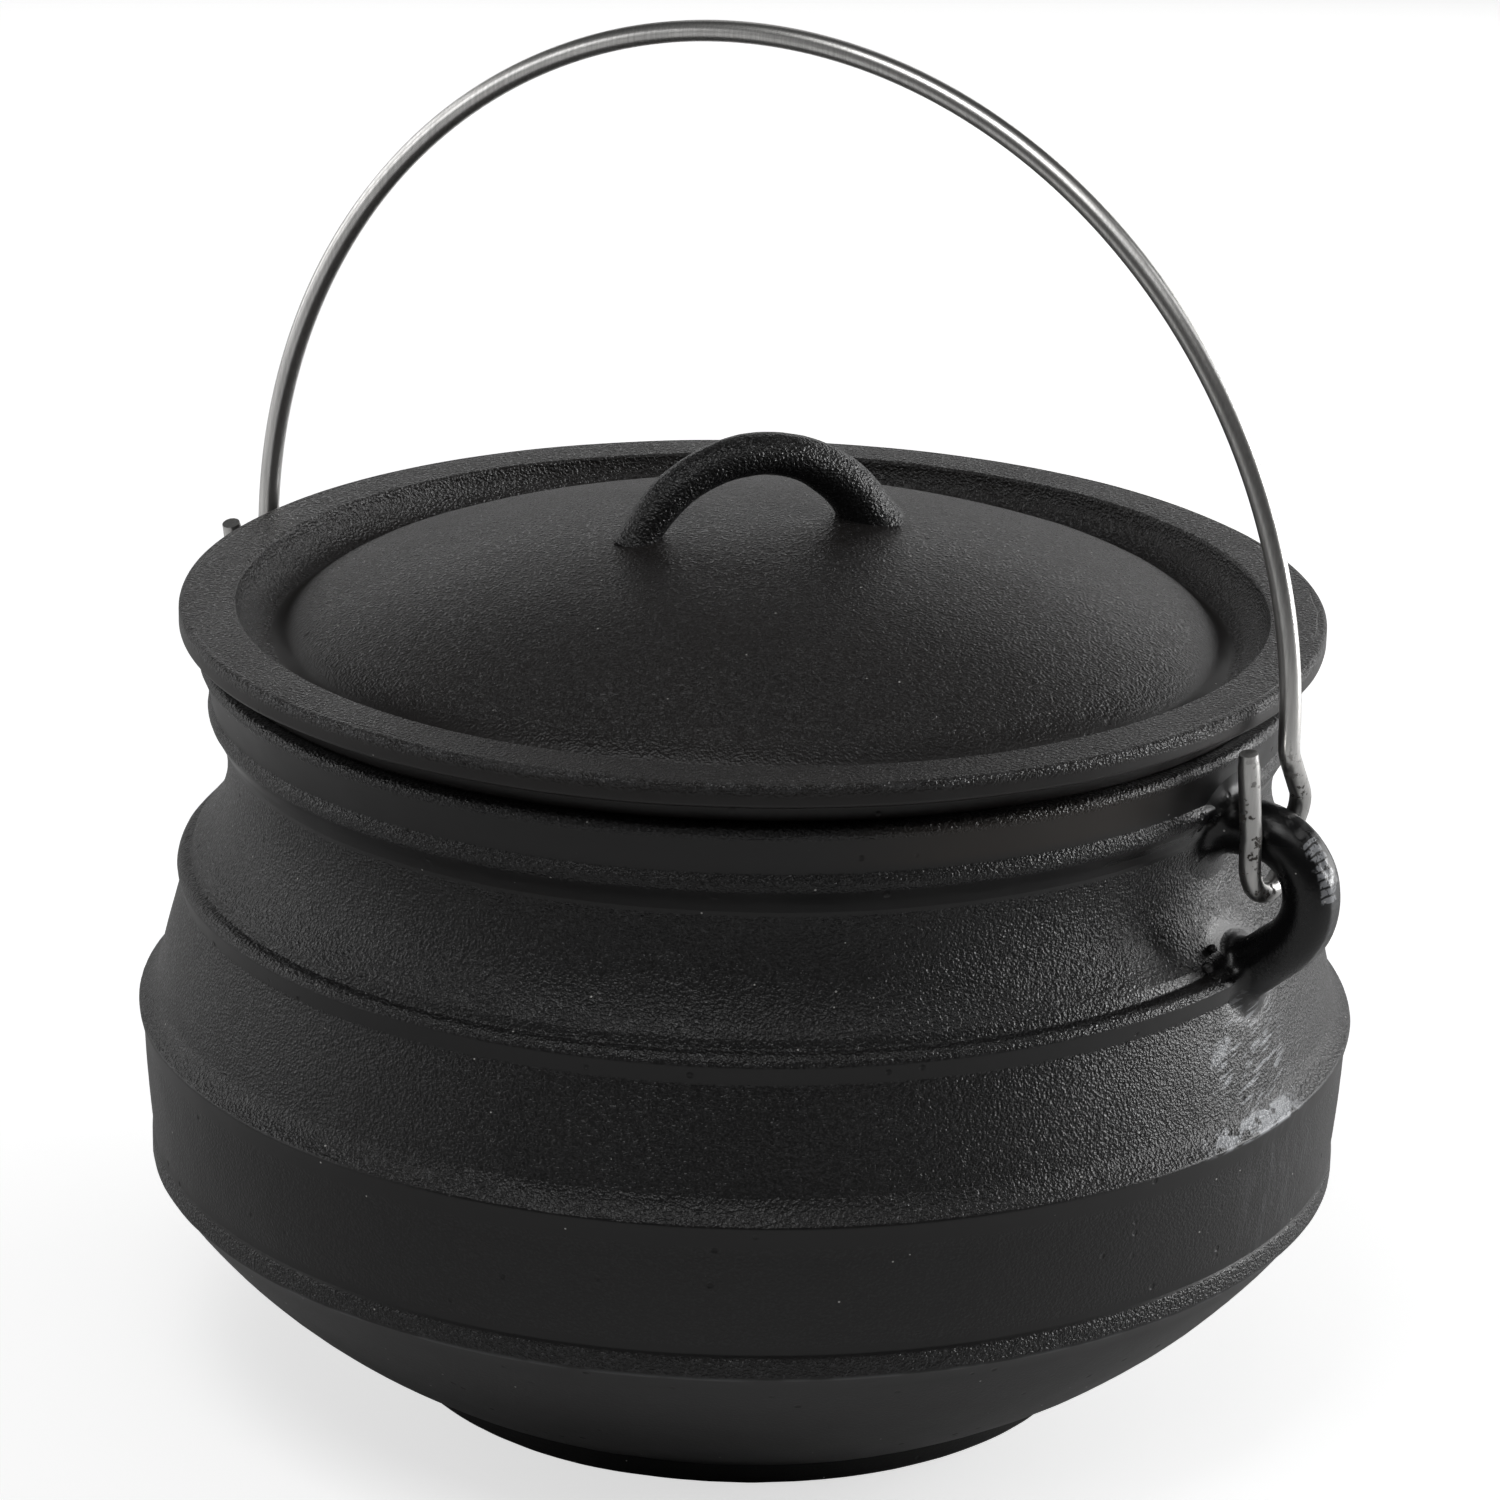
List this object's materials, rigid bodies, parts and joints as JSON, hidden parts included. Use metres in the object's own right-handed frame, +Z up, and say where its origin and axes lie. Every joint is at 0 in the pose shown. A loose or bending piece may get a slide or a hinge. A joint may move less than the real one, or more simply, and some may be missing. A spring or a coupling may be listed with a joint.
{
  "type": "cast iron camp kettle",
  "caption": "Round flat-bottomed cast iron camp kettle with ribbed belly, cast ears, a lid with a loop grip and a swinging wire bail.",
  "frame": {"origin": "centre of the flat foot, on the surface that the kettle stands on", "axes": "+Z up along the pot's axis; the two ears stand on the X axis; the bail swings about a line along X"},
  "size_m": [0.3024, 0.282, 0.3167],
  "materials": {
    "iron": "black, semi-matte as-cast surface",
    "wire": "drawn steel wire with dark spots"
  },
  "bodies": {
    "kettle": {"kettle_body": "iron", "lid": "iron"},
    "bail": {"bail_handle": "wire"}
  },
  "joints": [
    {"name": "bail_swing", "type": "hinge", "parent": "kettle", "child": "bail", "pos_m": [0, 0, 0.15465], "axis": [1, 0, 0], "range_deg": [-111, 113]}
  ]
}
